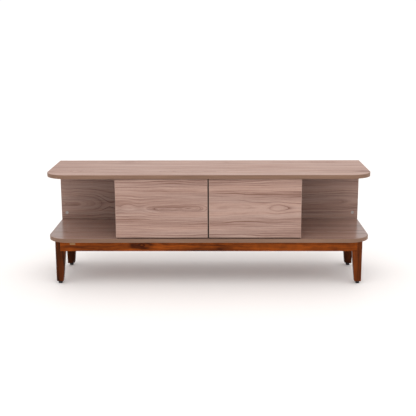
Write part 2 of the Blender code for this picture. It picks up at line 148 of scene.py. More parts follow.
PIN_DOME = ((0, -0.0002), (0.0010, -0.0002), (0.0009, 0.00008), (0.0005, 0.00018), (0, 0.0002))
KNOT_CENTRE = (-0.310, 0.188)  # X and Z of the knot in the front apron

# Camera and light
CAMERA_SPOT = (0.0518, -3.9044, 1.1921)
CAMERA_YAW, CAMERA_PITCH, CAMERA_ROLL = -0.819, 12.575, -0.218  # degrees
CAMERA_LENS = 71.66
CAMERA_SIGHT = 200.0
FLOOR_SIZE = 80.0
FLOOR_TONES = ((0.880, 0.846, 0.828), (0.892, 0.858, 0.840))
SOFTBOX_TOWARD = (0.1, -0.37, 0.93)  # direction of the middle of the softbox
SOFTBOX_EDGE = -0.12  # cosine of the angle at which its light has faded
SOFTBOX = 1.76  # brightness of its middle
FILL = 0.82  # brightness of everything round it
SIDE_DIMMING = 0.4  # share of the light that is missing straight to the left and right
BACKDROP = 1.05  # brightness that the camera sees behind the object

SMOOTH_ANGLE = math.radians(38)
SIDES = {"left": -1, "right": 1}
ENDS = {"front": -1, "rear": 1}
LEVELS = ("lower", "upper")


# ---- materials ----

class Nodes:
    """The node tree of a material or of the world, built with short calls."""

    def __init__(self, tree):
        self.tree = tree

    def node(self, kind, inputs, **settings):
        made = self.tree.nodes.new("ShaderNode" + kind)
        for key, value in settings.items():
            setattr(made, key, value)
        for socket, value in inputs.items():
            if isinstance(value, bpy.types.NodeSocket):
                self.tree.links.new(value, made.inputs[socket])
            else:
                made.inputs[socket].default_value = value
        return made

    def math(self, operation, *values):
        return self.node("Math", dict(enumerate(values)), operation=operation).outputs[0]


class Finish(Nodes):
    """One procedural material: a Principled shader and the nodes that feed it."""

    def __init__(self, name, **surface):
        self.material = bpy.data.materials.new(name)
        self.material.use_nodes = True
        super().__init__(self.material.node_tree)
        self.shader = self.tree.nodes["Principled BSDF"]
        for socket, value in surface.items():
            self.shader.inputs[socket.replace("_", " ")].default_value = value

    def feed(self, socket, value):
        self.tree.links.new(value, self.shader.inputs[socket])

    def place(self):
        """Where a point of the surface lies on the object at rest, in metres."""
        return self.node("TexCoord", {}).outputs["Object"]

    def grain_space(self, along, shift):
        """A point as (distance along the grain, distance across it, 0), on faces of any direction."""
        parts = self.node("SeparateXYZ", {0: self.place()}).outputs
        others = [parts[axis] for axis in "XYZ" if axis != along]
        across = self.math("ADD", *others)
        flat = self.node("CombineXYZ", {0: parts[along], 1: across}).outputs[0]
        return self.node("VectorMath", {0: flat, 1: shift}, operation="ADD").outputs[0]

    def cloud(self, place, detail=2.0, roughness=0.5):
        """Noise with features about one unit across."""
        return self.node("TexNoise", {"Vector": place, "Scale": 1.0, "Detail": detail,
                                      "Roughness": roughness}).outputs[0]

    def noise(self, place, per_metre, detail=2.0, roughness=0.5):
        """Noise with so many features per metre along X and along Y."""
        spread = self.node("VectorMath", {0: place, 1: (*per_metre, 1.0)}, operation="MULTIPLY").outputs[0]
        return self.cloud(spread, detail, roughness)

    def ramp(self, value, *stops):
        """A colour, or a grey level given as one number, for each position of a value."""
        made = self.node("ValToRGB", {0: value})
        elements = made.color_ramp.elements
        while len(elements) < len(stops):
            elements.new(0.5)
        for element, (position, colour) in zip(elements, stops):
            element.position = position
            element.color = (*colour, 1.0) if isinstance(colour, tuple) else (colour, colour, colour, 1.0)
        return made.outputs[0]

    def layered(self, level, *layers):
        """A level moved by each (layer, weight, middle): the weight times how far it is from its middle."""
        total = level - sum(weight * middle for _, weight, middle in layers)
        for layer, weight, _ in layers:
            total = self.math("MULTIPLY_ADD", layer, weight, total)
        return total

    def multiply(self, colour, other, share=1.0):
        made = self.node("Mix", {0: share, 6: colour, 7: other}, data_type="RGBA", blend_type="MULTIPLY")
        return made.outputs[2]

    def bump(self, height, strength, distance):
        made = self.node("Bump", {"Height": height, "Strength": strength, "Distance": distance})
        self.feed("Normal", made.outputs[0])


def scaled(colour, factor):
    return tuple(factor * part for part in colour)


def cut_of_log(finish, place, leaf):
    """Distance from the log's heart over a plain-sawn board: long arches with straight grain between."""
    parts = finish.node("SeparateXYZ", {0: place}).outputs
    sway = finish.noise(place, (1.5, 4.5))
    ripple = finish.noise(place, (9.0, 36.0))
    across = finish.layered(0.0, (sway, 0.045, 0.5), (ripple, 0.010, 0.5), (parts["Y"], 1.0, 0.0))
    from_heart = finish.math("WRAP", across, leaf / 2, -leaf / 2)
    depth = finish.math("MULTIPLY_ADD", finish.noise(place, (3.2, 2.5)), 0.12, -0.042)
    return finish.math("SQRT", finish.math("ADD", finish.math("POWER", from_heart, 2.0),
                                           finish.math("POWER", depth, 2.0)))


def rings_of(finish, place, radius, per_metre, along_rate, detail=1.0):
    """Uneven growth rings: some dark, some faint, each changing slowly along the grain."""
    parts = finish.node("SeparateXYZ", {0: place}).outputs
    spread = finish.node("CombineXYZ", {0: finish.math("MULTIPLY", radius, per_metre),
                                        1: finish.math("MULTIPLY", parts["X"], along_rate),
                                        2: finish.math("MULTIPLY", parts["Y"], 1.3)}).outputs[0]
    return finish.cloud(spread, detail)


def growth_lines(finish, place, radius, per_metre):
    """Dark latewood lines, each with one crisp side and one soft side; some rings hardly show."""
    drift = rings_of(finish, place, radius, 0.25 * per_metre, 0.8)
    number = finish.layered(0.0, (radius, per_metre, 0.0), (drift, 3.0, 0.5))
    late = finish.ramp(finish.math("FRACT", number), (0.0, 1.0), (0.12, 0.55), (0.50, 0.0))
    weight = rings_of(finish, place, radius, 0.45 * per_metre, 1.8)
    return finish.math("MULTIPLY", late, finish.ramp(weight, (0.38, 0.0), (0.66, 1.0)))


def oak_laminate(name, along, shift, tint_and_painted_light=1.0, roughness=0.42, gloss=0.3, contrast=1.0):
    """Satin oak decor: broad tone bands, flame figure, dark latewood lines, fine streaks and pores."""
    finish = Finish(name, Specular_IOR_Level=gloss)
    place = finish.grain_space(along, shift)
    radius = cut_of_log(finish, place, 0.26)
    broad = rings_of(finish, place, radius, 34.0, 0.9)
    lines = growth_lines(finish, place, radius, 80.0)
    hair = rings_of(finish, place, radius, 300.0, 3.0)
    bands = finish.noise(place, (0.8, 13.0), 1.0)
    streaks = finish.noise(place, (5.0, 260.0), 2.0, 0.6)
    tone = finish.layered(0.58, (broad, 0.55 * contrast, 0.5), (bands, 0.55 * contrast, 0.5),
                          (hair, 0.60 * contrast, 0.5), (streaks, 0.80 * contrast, 0.5),
                          (lines, -0.62 * contrast, 0.12))
    # The tint scales the light and dark colours: on the doors and sides it is the decor's own tone, and on
    # the top, the deck and the back it is painted light and shade.
    light, dark = scaled(DECOR_LIGHT, tint_and_painted_light), scaled(DECOR_DARK, tint_and_painted_light)
    middle = tuple(0.54 * a + 0.46 * b for a, b in zip(light, dark))
    colour = finish.ramp(tone, (0.10, dark), (0.50, middle), (0.90, light))
    warmth = finish.ramp(finish.noise(place, (1.3, 34.0)), (0.35, (1.0, 0.945, 0.91)),
                         (0.65, (0.985, 0.995, 1.0)))
    colour = finish.multiply(colour, warmth)
    pores = finish.noise(place, (48.0, 1300.0), 2.0, 0.6)
    pits = finish.ramp(pores, (0.30, 0.65), (0.44, 1.0))
    finish.feed("Base Color", finish.multiply(colour, pits, 0.8))
    finish.feed("Roughness", finish.ramp(streaks, (0.3, roughness + 0.07), (0.7, roughness - 0.05)))
    finish.bump(pits, 0.25, 0.0002)
    return finish.material


def edge_banding(name, along, light, dark):
    """Thin tan banding with long faint streaks."""
    finish = Finish(name, Roughness=0.5, Specular_IOR_Level=0.3)
    place = finish.grain_space(along, (0.3, 0.1, 0.0))
    drift = finish.noise(place, (2.0, 30.0))
    streaks = finish.noise(place, (7.0, 420.0), 3.0, 0.6)
    tone = finish.layered(0.5, (drift, 0.8, 0.5), (streaks, 0.9, 0.5))
    finish.feed("Base Color", finish.ramp(tone, (0.25, dark), (0.75, light)))
    finish.feed("Roughness", finish.ramp(streaks, (0.3, 0.56), (0.7, 0.44)))
    finish.bump(streaks, 0.15, 0.0002)
    return finish.material


def stained_wood(name, along, light, dark, shift, knot=None):
    """Solid wood under a thin orange-brown lacquer, with drifting tone, growth lines and pores."""
    finish = Finish(name, Specular_IOR_Level=0.06)
    place = finish.grain_space(along, shift)
    drift = finish.noise(place, (1.6, 9.0), 2.0, 0.55)
    patches = finish.noise(place, (14.0, 40.0), 2.0, 0.6)
    lines = rings_of(finish, place, cut_of_log(finish, place, 0.11), 170.0, 2.5, 2.0)
    streaks = finish.noise(place, (9.0, 420.0), 3.0, 0.62)
    tone = finish.layered(0.52, (drift, 1.3, 0.5), (patches, 0.9, 0.5), (lines, 0.9, 0.5),
                          (streaks, 0.7, 0.5))
    if knot:
        tone = finish.math("SUBTRACT", tone, knot_darkness(finish, knot))
    middle = tuple(0.55 * a + 0.45 * b for a, b in zip(light, dark))
    colour = finish.ramp(tone, (0.10, dark), (0.55, middle), (0.92, light))
    pores = finish.ramp(finish.noise(place, (60.0, 1300.0)), (0.30, 0.55), (0.45, 1.0))
    finish.feed("Base Color", finish.multiply(colour, pores, 0.8))
    finish.feed("Roughness", finish.ramp(streaks, (0.3, 0.46), (0.7, 0.32)))
    finish.bump(pores, 0.2, 0.0002)
    return finish.material


def knot_darkness(finish, knot):
    """A knot: a light heart, a dark ring, a paler one, and a dim halo drawn out along the grain."""
    place = finish.place()
    parts = finish.node("SeparateXYZ", {0: place}).outputs
    along = finish.math("MULTIPLY", finish.math("SUBTRACT", parts["X"], knot[0]), 0.40)
    across = finish.math("SUBTRACT", parts["Z"], knot[1])
    flat = finish.node("CombineXYZ", {0: along, 1: across}).outputs[0]
    far = finish.node("VectorMath", {0: flat}, operation="LENGTH").outputs["Value"]
    ragged = finish.noise(place, (60.0, 60.0))
    far = finish.math("MULTIPLY_ADD", ragged, 0.006, far)
    return finish.ramp(far, (0.004, 0.20), (0.008, 0.80), (0.013, 0.25), (0.018, 0.50), (0.030, 0.0))


def plain_plastic(name, colour, roughness, grit):
    """Moulded plastic with a fine spark-eroded surface and faint mottling."""
    finish = Finish(name, Specular_IOR_Level=0.4)
    place = finish.place()
    mottle = finish.noise(place, (90.0, 90.0))
    grain = finish.noise(place, (grit, grit), 3.0, 0.65)
    finish.feed("Base Color", finish.ramp(mottle, (0.3, scaled(colour, 0.82)), (0.7, scaled(colour, 1.12))))
    finish.feed("Roughness", finish.ramp(grain, (0.3, roughness + 0.08), (0.7, roughness - 0.06)))
    finish.bump(grain, 0.3, 0.0001)
    return finish.material


def plain_metal(name, colour, roughness, grit):
    """Plated or cast metal with fine scratches and slightly uneven gloss."""
    finish = Finish(name, Metallic=1.0)
    place = finish.place()
    cloud = finish.noise(place, (160.0, 160.0), 3.0)
    scratch = finish.noise(place, (grit * 8, grit), 3.0, 0.7)
    finish.feed("Base Color", finish.ramp(cloud, (0.3, scaled(colour, 0.8)), (0.7, scaled(colour, 1.06))))
    finish.feed("Roughness", finish.ramp(scratch, (0.3, roughness + 0.1), (0.7, roughness - 0.08)))
    finish.bump(scratch, 0.12, 0.0001)
    return finish.material


DECOR_LIGHT = (0.445, 0.300, 0.248)
DECOR_DARK = (0.185, 0.089, 0.065)
TAN_LIGHT = (0.240, 0.138, 0.090)
TAN_DARK = (0.160, 0.086, 0.054)
STAIN_LIGHT = (0.310, 0.066, 0.0060)
STAIN_DARK = (0.046, 0.0080, 0.0010)
LEG_LIGHT = (0.135, 0.029, 0.0045)
LEG_DARK = (0.022, 0.0050, 0.0010)
# Brightness of each leg's stain. The two front legs differ in wood tone. The rear legs are darker still, as
# painted shade under the cabinet.
LEG_TONES_AND_SHADE = {"front_left": 0.95, "front_right": 1.30, "rear_left": 0.65, "rear_right": 0.50}

# One oak decor on every board. The top's tint of 1.06 is painted light from above. The deck's 0.88 is
# painted shade inside the niches. The back's 0.79 is partly its own darker figure and partly painted shade
# inside the niches. The doors' and sides' tints are the decor's own tone.
lit_top_decor = oak_laminate("decor_top_lit", "X", (0.0, 0.37, 0.0), 1.06, roughness=0.50, contrast=1.2)
shaded_deck_decor = oak_laminate("decor_deck_shaded", "X", (0.6, 0.11, 0.0), 0.88, roughness=0.20, gloss=0.5,
                          contrast=0.8)
door_decor = oak_laminate("decor_doors", "X", (8.7, 0.36, 0.0), 0.95, contrast=1.35)
shaded_back_decor = oak_laminate("decor_back_shaded", "X", (4.4, 0.02, 0.0), 0.79, contrast=1.35)
side_decor = oak_laminate("decor_sides", "Y", (1.2, 0.95, 0.0), 0.85)
tan_edging = edge_banding("edging_tan", "X", TAN_LIGHT, TAN_DARK)
upright_edging = edge_banding("edging_upright", "Z", TAN_LIGHT, TAN_DARK)
# The divider's banding is near-black: painted shade for the gap between the doors, through which its front
# edge shows.
shaded_divider_edging = edge_banding("edging_divider_shaded", "Z", (0.026, 0.016, 0.011), (0.015, 0.009, 0.006))
door_edging = edge_banding("edging_doors", "X", (0.400, 0.270, 0.220), (0.270, 0.170, 0.135))
apron_wood = stained_wood("stain_aprons", "X", STAIN_LIGHT, STAIN_DARK, (2.9, 0.2, 0.0), KNOT_CENTRE)
rail_wood = stained_wood("stain_rails", "Y", STAIN_LIGHT, STAIN_DARK, (0.9, 0.5, 0.0))
leg_woods_and_shade = {name: stained_wood(f"stain_{name}_leg", "Z", scaled(LEG_LIGHT, tone), scaled(LEG_DARK, tone),
                                (0.1, 0.3, 0.0))
             for name, tone in LEG_TONES_AND_SHADE.items()}
glide_plastic = plain_plastic("plastic_black", (0.014, 0.014, 0.015), 0.5, 900.0)
latch_plastic = plain_plastic("plastic_grey", (0.42, 0.43, 0.45), 0.45, 900.0)
nickel = plain_metal("nickel", (0.64, 0.62, 0.58), 0.28, 500.0)
zinc = plain_metal("zinc", (0.47, 0.43, 0.41), 0.50, 700.0)
brass = plain_metal("plate_brass", (0.29, 0.165, 0.080), 0.42, 900.0)


# ---- shapes ----

def arc(start, sweep, steps):
    """Evenly spaced angles from a start through a sweep."""
    return [start + sweep * i / steps for i in range(steps + 1)]


def on_circle(radius, angles, u=0.0, v=0.0):
    """Points at some angles on a circle round (u, v)."""
    return [(u + radius * math.cos(a), v + radius * math.sin(a)) for a in angles]


def prism(points, low, high, place=lambda u, v, w: (u, v, w)):
    """A flat outline made solid between two levels."""
    solid = bmesh.new()
    rings = [[solid.verts.new(place(u, v, level)) for u, v in points] for level in (low, high)]
    for ring in rings:
        solid.faces.new(ring)
    count = len(points)
    for i in range(count):
        j = (i + 1) % count
        solid.faces.new((rings[0][i], rings[0][j], rings[1][j], rings[1][i]))
    return solid


def hoop(outline, profile, place):
    """A closed section, given as (inset, level) points, swept round an outline."""
    solid = bmesh.new()
    rings = [[solid.verts.new(place(u, v, level)) for u, v in outline(inset)] for inset, level in profile]
    for ring, following in zip(rings, rings[1:] + rings[:1]):
        count = len(ring)
        for i in range(count):
            j = (i + 1) % count
            solid.faces.new((ring[i], ring[j], following[j], following[i]))
    return solid


def turned(profile, steps=40):
    """A shape turned about Z from (radius, level) points that start and end on the axis."""
    solid = bmesh.new()
    rings = []
    for radius, level in profile:
        if radius == 0:
            rings.append([solid.verts.new((0, 0, level))])
            continue
        circle = on_circle(radius, arc(0, 2 * math.pi, steps)[:-1])
        rings.append([solid.verts.new((*point, level)) for point in circle])
    for ring, following in zip(rings, rings[1:]):
        for i in range(steps):
            j = (i + 1) % steps
            corners = (ring[i % len(ring)], ring[j % len(ring)],
                       following[j % len(following)], following[i % len(following)])
            solid.faces.new(tuple(dict.fromkeys(corners)))
    return solid


def round_edges(solid, edges, width, segments=2):
    bmesh.ops.bevel(solid, geom=edges, offset=width, segments=segments, profile=0.5, affect="EDGES")


def box(low, high, radius=0.0, segments=2):
    """A box between two corners, with its edges rounded if a radius is given."""
    if not radius:
        return prism([(low[0], low[1]), (high[0], low[1]), (high[0], high[1]), (low[0], high[1])],
                     low[2], high[2])
    solid = bmesh.new()
    bmesh.ops.create_cube(solid, size=1.0)
    for vert in solid.verts:
        vert.co = [low[i] if vert.co[i] < 0 else high[i] for i in range(3)]
    round_edges(solid, solid.edges[:], radius, segments)
    return solid


def box_at(centre, half, radius=0.0):
    """A box by its middle and half sizes."""
    low = [c - h for c, h in zip(centre, half)]
    high = [c + h for c, h in zip(centre, half)]
    return box(low, high, radius)


def rod(radius, low, high, steps=32):
    return turned([(0, low), (radius, low), (radius, high), (0, high)], steps)


def placed(solid, spot, direction=(0, 0, 1)):
    """Turn a shape's +Z to a direction and move its origin to a place."""
    turn = Vector(direction).to_track_quat("Z", "Y").to_matrix().to_4x4()
    bmesh.ops.transform(solid, matrix=Matrix.Translation(spot) @ turn, verts=solid.verts)
    return solid


def together(*solids):
    """Several shapes in one mesh, each left as it is."""
    result = bmesh.new()
    for solid in solids:
        mesh = bpy.data.meshes.new("working")
        solid.to_mesh(mesh)
        solid.free()
        result.from_mesh(mesh)
        bpy.data.meshes.remove(mesh)
    return result


def combined(solid, other, operation):
    """The first closed shape with the second cut out of it, or joined to it."""
    things = []
    for shape in (solid, other):
        bmesh.ops.recalc_face_normals(shape, faces=shape.faces)
        mesh = bpy.data.meshes.new("working")
        shape.to_mesh(mesh)
        shape.free()
        thing = bpy.data.objects.new("working", mesh)
        bpy.context.scene.collection.objects.link(thing)
        things.append(thing)
    boolean = things[0].modifiers.new("combine", "BOOLEAN")
    boolean.operation = operation
    boolean.object = things[1]
    seen = things[0].evaluated_get(bpy.context.evaluated_depsgraph_get())
    made = bpy.data.meshes.new_from_object(seen)
    result = bmesh.new()
    result.from_mesh(made)
    bpy.data.meshes.remove(made)
    for thing in things:
        mesh = thing.data
        bpy.data.objects.remove(thing)
        bpy.data.meshes.remove(mesh)
    return result


def cut(solid, other):
    return combined(solid, other, "DIFFERENCE")


def joined(solid, *others):
    for other in others:
        solid = combined(solid, other, "UNION")
    return solid


def make_piece(name, solid, body, mat, slot, *nodes):
    """Turn a shape into a piece that rides on a body and stands for CAD nodes."""
    bmesh.ops.recalc_face_normals(solid, faces=solid.faces)
    mesh = bpy.data.meshes.new(name)
    solid.to_mesh(mesh)
    solid.free()
    mesh.materials.append(mat)
    mesh.shade_smooth()
    mesh.set_sharp_from_angle(angle=SMOOTH_ANGLE)
    thing = bpy.data.objects.new(name, mesh)
    bpy.context.scene.collection.objects.link(thing)
    normals = thing.modifiers.new("normals", "WEIGHTED_NORMAL")
    normals.keep_sharp = True
    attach(thing, body)
    if nodes:
        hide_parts(*nodes)
    return thing


def middle_of(node):
    low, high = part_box(node)
    return (low + high) / 2


def joint_spot(name):
    return Vector(next(joint["pos_m"] for joint in frame["joints"] if joint["name"] == name))


def cross_cut(solid, level, half_length, half_width, depth):
    """A shape on the Z axis with a driver's cross cut in it at a level."""
    for half in ((half_length, half_width), (half_width, half_length)):
        solid = cut(solid, box_at((0, 0, level), (*half, depth)))
    return solid


def screw(radius):
    """A pan head, flat side down at Z 0, with a cross recess."""
    height = 0.55 * radius
    dome = [(radius * math.cos(a), 0.2 * height + 0.8 * height * math.sin(a))
            for a in arc(0, math.pi / 2, 6)[:-1]]
    head = turned([(0, 0), (radius, 0), *dome, (0, height)], 24)
    return cross_cut(head, height, 0.55 * radius, 0.12 * radius, 0.6 * height)


def make_screws(node, heads, direction, body="carcass"):
    """Screws that look one way, as one piece, from each head's radius and spot."""
    screws = [placed(screw(radius), spot, direction) for radius, spot in heads]
    make_piece(node + "_screws", together(*screws), body, nickel, "nickel_steel")


# ---- boards and doors ----

def rectangle(low, high):
    """Outline of a square-cornered board, as a function of the inset from its edge."""
    def outline(inset):
        left, bottom, right, top = low[0] + inset, low[1] + inset, high[0] - inset, high[1] - inset
        return [(left, bottom), (right, bottom), (right, top), (left, top)]
    return outline


def rounded_front(low, high):
    """Outline of the top or bottom board: two rounded corners at the front, square at the back."""
    def outline(inset):
        radius = BOARD_CORNER - inset
        points = [(high[0] - inset, high[1] - inset), (low[0] + inset, high[1] - inset)]
        for start, centre in ((math.pi, low[0] + BOARD_CORNER), (1.5 * math.pi, high[0] - BOARD_CORNER)):
            angles = arc(start, math.pi / 2, CORNER_STEPS)
            points += on_circle(radius, angles, centre, low[1] + BOARD_CORNER)
        return points
    return outline


def banding_section(low, high, arris):
    """Section of the edge banding, with its two outer edges rounded."""
    turns = arc(0, math.pi / 2, 4)
    upper = [(arris * (1 - math.sin(a)), high - arris * (1 - math.cos(a))) for a in turns]
    lower = [(arris * (1 - math.cos(a)), low + arris * (1 - math.sin(a))) for a in turns]
    return [(EDGE_BAND, high), *upper, *lower, (EDGE_BAND, low)]


def make_board(node, thickness_axis, panel_mat, edge_mat, arris, body="carcass", shape=rectangle,
               cutters=()):
    """A laminated panel and the banding round its edge."""
    low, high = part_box(node)
    first, second = [axis for axis in range(3) if axis != thickness_axis]

    def place(u, v, level):
        spot = [0.0, 0.0, 0.0]
        spot[first], spot[second], spot[thickness_axis] = u, v, level
        return spot

    outline = shape((low[first], low[second]), (high[first], high[second]))
    bottom, top = low[thickness_axis], high[thickness_axis]
    panel = prism(outline(EDGE_BAND + JOINT), bottom, top, place)
    for cutter in cutters:
        panel = cut(panel, cutter)
    make_piece(node + "_panel", panel, body, panel_mat, "laminate", node)
    banding = hoop(outline, banding_section(bottom, top, arris), place)
    make_piece(node + "_edging", banding, body, edge_mat, "laminate")


def cam_nodes(prefix):
    return sorted(node for node in frame["nodes"] if node.startswith(prefix))


def cam_face(node, direction):
    """Middle of a cam lock's face, its radius and its depth."""
    low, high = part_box(node)
    size = high - low
    depth = min(size)
    return (low + high) / 2 + Vector(direction) * depth / 2, max(size) / 2, depth


def make_cam(node, direction):
    """Cam lock: a turned zinc body with a raised rim and a cross for the driver."""
    face, radius, depth = cam_face(node, direction)
    rim = radius - CAM_RIM
    body = turned([(0, -depth), (radius - CAM_CHAMFER, -depth), (radius, -depth + CAM_CHAMFER),
                   (radius, -CAM_ARRIS), (radius - CAM_ARRIS, 0), (rim, 0),
                   (rim - CAM_LEAN, -CAM_RECESS), (0, -CAM_RECESS)])
    body = cross_cut(body, 0, *CROSS)
    make_piece(node + "_lock", placed(body, face, direction), "carcass", zinc, "cam_zinc", node)


def cam_bores(nodes, direction):
    """Bores for cam locks whose faces look one way."""
    bores = []
    for node in nodes:
        face, radius, depth = cam_face(node, direction)
        bores.append(placed(rod(radius + FIT, -depth - FIT, depth), face, direction))
    return bores


def make_boards():
    make_board("top_board", 2, lit_top_decor, tan_edging, BOARD_ARRIS, shape=rounded_front)
    make_board("bottom_board", 2, shaded_deck_decor, tan_edging, BOARD_ARRIS, shape=rounded_front)
    back_cams = cam_nodes("back_cam")
    make_board("back_board", 1, shaded_back_decor, upright_edging, DOOR_ARRIS,
               cutters=cam_bores(back_cams, (0, -1, 0)))
    for node in back_cams:
        make_cam(node, (0, -1, 0))
    make_board("centre_divider", 0, side_decor, shaded_divider_edging, DOOR_ARRIS)
    for side_name, side in SIDES.items():
        cams = cam_nodes(side_name + "_cam")
        inward = (-side, 0, 0)
        make_board(side_name + "_upright", 0, side_decor, upright_edging, DOOR_ARRIS,
                   cutters=cam_bores(cams, inward))
        for node in cams:
            make_cam(node, inward)


def cup_spot(side_name, level_name):
    """Centre of a hinge cup's mouth, on the plane of the door's back, and the cup's radius."""
    low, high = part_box(f"{side_name}_hinge_cup_{level_name}")
    middle = (low + high) / 2
    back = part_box(side_name + "_door")[1].y
    return Vector((middle.x, back, middle.z)), (high.x - low.x) / 2


def cup_section(radius, depth):
    """Section of a drawn cup with a rounded floor and a thin lip, its mouth at Z 0."""
    inside, fillet = radius - CUP_WALL, CUP_FILLET - CUP_WALL
    reach, proud = CUP_LIP
    turns = arc(0, math.pi / 2, 6)
    outer = [(radius - CUP_FILLET * (1 - math.sin(a)), -depth + CUP_FILLET * (1 - math.cos(a)))
             for a in turns]
    inner = [(inside - fillet * (1 - math.cos(a)), -depth + CUP_WALL + fillet * (1 - math.sin(a)))
             for a in turns]
    lip = [(radius, 0.0), (radius + reach, 0.0), (radius + reach, 0.4 * proud),
           (radius + reach - proud, proud), (inside + proud, proud), (inside, 0.2 * proud)]
    return [(0, -depth), *outer, *lip, *inner, (0, -depth + CUP_WALL)]


def lip_notch(side_name, level_name):
    """The cutter for the notch in a cup's lip, where the link swings out."""
    spot, radius = cup_spot(side_name, level_name)
    link_low, link_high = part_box(f"{side_name}_hinge_link_{level_name}")
    proud = CUP_LIP[1]
    centre = spot + Vector((SIDES[side_name] * radius, proud / 2, 0))
    return box_at(centre, (NOTCH_REACH, proud / 2 + FIT, (link_high.z - link_low.z) / 2 + NOTCH_SPARE))


def make_hinge_cup(side_name, level_name):
    """Drawn steel cup with two screw ears, its lip notched for the link, and the ears' screws."""
    node = f"{side_name}_hinge_cup_{level_name}"
    door = side_name + "_door"
    outward = (0, 1, 0)
    spot, radius = cup_spot(side_name, level_name)
    cup = turned(cup_section(radius, spot.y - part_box(node)[0].y), CUP_STEPS)
    sunk, proud = EAR_THICKNESS
    for way in (-1, 1):
        ear = box_at((0, way * EAR_FROM_CUP, (proud - sunk) / 2), (*CUP_EAR, (proud + sunk) / 2), EAR_ROUND)
        hollow = rod(radius - CUP_WALL, -sunk * 2, proud * 2, CUP_STEPS)
        cup = joined(cup, cut(ear, hollow))
    cup = cut(placed(cup, spot, outward), lip_notch(side_name, level_name))
    make_piece(node + "_shell", cup, door, nickel, "nickel_steel", node)
    make_screws(node, [(EAR_SCREW, spot + Vector((0, proud, way * (EAR_FROM_CUP + EAR_SCREW_OFFSET))))
                       for way in (-1, 1)], outward, door)


def door_cutters(side_name):
    """The bores for a door's two hinge cups and the shallow seats for their ears."""
    cutters = []
    for level_name in LEVELS:
        node = f"{side_name}_hinge_cup_{level_name}"
        spot, radius = cup_spot(side_name, level_name)
        depth = spot.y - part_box(node)[0].y + FIT
        cutters.append(placed(rod(radius + FIT, -depth, depth, CUP_STEPS), spot, (0, 1, 0)))
        for way in (-1, 1):
            centre = spot + Vector((0, 0, way * EAR_FROM_CUP))
            half = (CUP_EAR[0] + FIT, EAR_THICKNESS[0] + FIT, CUP_EAR[1] + FIT)
            cutters.append(box_at(centre, half))
    return cutters


def make_hinge_link(side_name, level_name):
    """Flat link with a rolled eye round the arm's pin."""
    node = f"{side_name}_hinge_link_{level_name}"
    side = SIDES[side_name]
    pivot = joint_spot(side_name + "_link_hinge")
    low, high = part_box(node)
    root = math.asin(LINK_HALF_THICKNESS / EYE_RADIUS)
    eye = on_circle(EYE_RADIUS, arc(root, 2 * math.pi - 2 * root, 24))
    tip = on_circle(LINK_HALF_THICKNESS, arc(-math.pi / 2, math.pi, 8), LINK_LENGTH)
    link = prism(eye + tip, low.z, high.z)
    link = cut(link, rod(PIN_RADIUS + FIT, low.z - THROUGH, high.z + THROUGH))
    angle = -LINK_ANGLE if side > 0 else math.pi + LINK_ANGLE
    spin = Matrix.Translation((pivot.x, pivot.y, 0)) @ Matrix.Rotation(angle, 4, "Z")
    bmesh.ops.transform(link, matrix=spin, verts=link.verts)
    make_piece(node + "_plate", link, side_name + "_hinge_links", nickel, "nickel_steel", node)


def make_hinge_arm(side_name, level_name):
    """Forked channel on a mounting plate, with its pin, its fixing screws and its adjusting screws."""
    node = f"{side_name}_hinge_arm_{level_name}"
    side = SIDES[side_name]
    low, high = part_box(node)
    level = (low.z + high.z) / 2
    pivot = joint_spot(side_name + "_link_hinge")
    face = high.x if side > 0 else low.x
    link_low, link_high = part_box(f"{side_name}_hinge_link_{level_name}")
    link_half = (link_high.z - link_low.z) / 2

    def block(x_ends, y_from, y_to, half_height, radius):
        """A rounded box across the upright's face, with its two X in either order."""
        return box((min(x_ends), y_from, level - half_height), (max(x_ends), y_to, level + half_height),
                   radius)

    plate = block((face - side * PLATE_THICKNESS, face), pivot.y + PLATE_SPAN[0], pivot.y + PLATE_SPAN[1],
                  (high.z - low.z) / 2, PLATE_ROUND)
    seat = block((pivot.x + side * CHEEK_HALF / 2, face - side * PLATE_THICKNESS / 2),
                 pivot.y + SEAT_SPAN[0], pivot.y + SEAT_SPAN[1], SEAT_HALF_HEIGHT, SEAT_ROUND)
    channel = block((pivot.x - side * CHANNEL_HALF[0], pivot.x + side * CHANNEL_HALF[0]),
                    pivot.y + 2 * CHEEK_HALF, high.y, CHANNEL_HALF[1], CHANNEL_ROUND)
    outline = on_circle(CHEEK_HALF, arc(math.pi, math.pi, 16), pivot.x, pivot.y)
    outline += [(pivot.x + half, pivot.y + CHEEK_LENGTH) for half in (CHEEK_HALF, -CHEEK_HALF)]
    cheeks = []
    for way in (-1, 1):
        middle = level + way * (link_half + 0.75 * CHEEK_THICKNESS)
        cheeks.append(prism(outline, middle - CHEEK_THICKNESS / 2, middle + CHEEK_THICKNESS / 2))
    pin_half = link_half + 1.125 * CHEEK_THICKNESS  # it ends inside the cheeks
    pin = placed(rod(PIN_RADIUS, -pin_half, pin_half, 20), (pivot.x, pivot.y, level))
    make_piece(node + "_bracket", joined(plate, seat, channel, *cheeks, pin), "carcass", nickel,
               "nickel_steel", node)

    radius, lift = PLATE_SCREW
    plate_y = pivot.y + sum(PLATE_SPAN) / 2
    top = pivot.x - side * CHANNEL_HALF[0]
    heads = [(radius, (face - side * PLATE_THICKNESS, plate_y, level + way * lift)) for way in (-1, 1)]
    heads += [(ADJUSTING_SCREW, (top, pivot.y + reach, level)) for reach in ADJUSTING_REACH]
    make_screws(node, heads, (-side, 0, 0))


